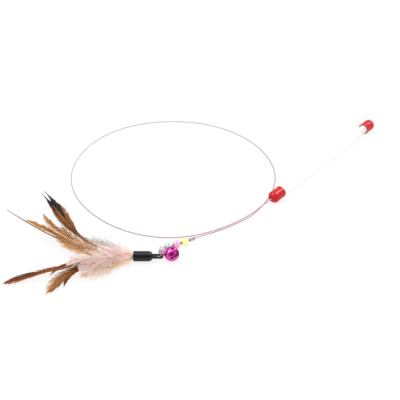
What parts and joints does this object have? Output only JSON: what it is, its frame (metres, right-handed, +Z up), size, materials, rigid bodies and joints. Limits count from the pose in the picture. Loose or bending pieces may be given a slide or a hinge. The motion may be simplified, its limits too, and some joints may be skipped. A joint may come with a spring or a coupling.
{
  "type": "cat teaser wand",
  "caption": "Clear tube handle with vinyl end caps and a springy looped wire that carries beads, a jingle bell and a feather bunch, for play with a cat.",
  "frame": {"origin": "on the handle tube's axis, at the middle of its length, where a hand or clip holds it", "axes": "+X along the handle towards the rear cap, +Z up from the table that the wand lies on, +Y to the side on which the wire's loop lies"},
  "size_m": [0.4386, 0.2244, 0.0282],
  "materials": {
    "clear_tube": "clear extruded plastic tube",
    "red_vinyl": "dip-moulded glossy vinyl",
    "clear_plug": "translucent moulded plastic",
    "ferrule_metal": "crimped, satin",
    "coated_wire": "spring steel in a thin pink coating",
    "yellow_bead": "translucent moulded bead",
    "pink_bead": "translucent moulded bead",
    "green_bead": "translucent moulded bead",
    "clear_bead": "translucent moulded bead",
    "magenta_bell": "metallic lacquer, polished",
    "pellet_steel": "plain steel ball",
    "black_plastic": "moulded, semi-matt",
    "hot_glue": "cured glue",
    "tan_feather": "natural feather vane",
    "golden_feather": "natural feather vane",
    "brown_feather": "natural feather vane",
    "quill": "bare feather shaft",
    "black_feather": "natural feather vane with a black middle",
    "dark_feather": "natural feather vane",
    "pale_feather": "natural feather vane with a pale edge",
    "cream_down": "natural down",
    "pink_down": "natural down",
    "grey_down": "natural down"
  },
  "bodies": {
    "handle": {"handle_tube": "clear_tube", "front_cap": "red_vinyl", "rear_cap": "red_vinyl", "anchor_plug": "clear_plug", "anchor_ferrule": "ferrule_metal", "wire_root": "coated_wire"},
    "wire": {"wire_lead": "coated_wire", "end_ferrule": "ferrule_metal", "wire_end_loop": "coated_wire"},
    "yellow_bead": {"bead_yellow": "yellow_bead"},
    "pink_bead": {"bead_pink": "pink_bead"},
    "green_bead": {"bead_green": "green_bead"},
    "clear_bead": {"bead_clear": "clear_bead"},
    "bell": {"bell_shell": "magenta_bell", "bell_shank": "magenta_bell"},
    "pellet": {"bell_pellet": "pellet_steel"},
    "lure": {"feather_cap": "black_plastic", "quill_glue": "hot_glue", "tan_feather": "tan_feather", "golden_feather": "golden_feather", "small_brown_feather": "brown_feather", "bare_shaft": "quill", "brown_wide_feather": "brown_feather", "black_feather_left": "black_feather", "black_feather_right": "black_feather", "short_dark_feather": "dark_feather", "pale_edge_feather": "pale_feather", "slim_brown_feather": "brown_feather", "long_dark_feather": "dark_feather", "curled_feather": "dark_feather", "cream_down_plume": "cream_down", "pink_down_plume": "pink_down", "grey_down_plume": "grey_down"}
  },
  "joints": [
    {"name": "wire_flex", "type": "hinge", "parent": "handle", "child": "wire", "pos_m": [-0.093, 0, 0], "axis": [0, 1, 0], "range_deg": [-20, 35], "stiffness_Nm_per_rad": 0.012},
    {"name": "lure_swing", "type": "hinge", "parent": "wire", "child": "lure", "pos_m": [-0.2295, 0.0251, -0.0013], "axis": [0, 0, 1], "range_deg": [-12, 75]},
    {"name": "bell_swing", "type": "hinge", "parent": "wire", "child": "bell", "pos_m": [-0.22715, 0.02796, -0.0031], "axis": [-0.6361, -0.7716, 0], "range_deg": [-110, 4]},
    {"name": "bell_pellet_roll", "type": "hinge", "parent": "bell", "child": "pellet", "pos_m": [-0.22254, 0.01826, 0.0009], "axis": [-0.4019, 0.8464, -0.3493], "continuous": true},
    {"name": "yellow_bead_spin", "type": "hinge", "parent": "wire", "child": "yellow_bead", "pos_m": [-0.19885, 0.02324, -0.0024], "axis": [-0.9278, 0.373, 0], "continuous": true},
    {"name": "pink_bead_spin", "type": "hinge", "parent": "wire", "child": "pink_bead", "pos_m": [-0.20655, 0.02649, -0.0024], "axis": [-0.9143, 0.4051, 0], "continuous": true},
    {"name": "green_bead_spin", "type": "hinge", "parent": "wire", "child": "green_bead", "pos_m": [-0.21409, 0.03007, -0.0024], "axis": [-0.8918, 0.4524, 0], "continuous": true},
    {"name": "clear_bead_spin", "type": "hinge", "parent": "wire", "child": "clear_bead", "pos_m": [-0.22181, 0.03077, -0.0024], "axis": [-0.9583, -0.2857, 0], "continuous": true}
  ]
}
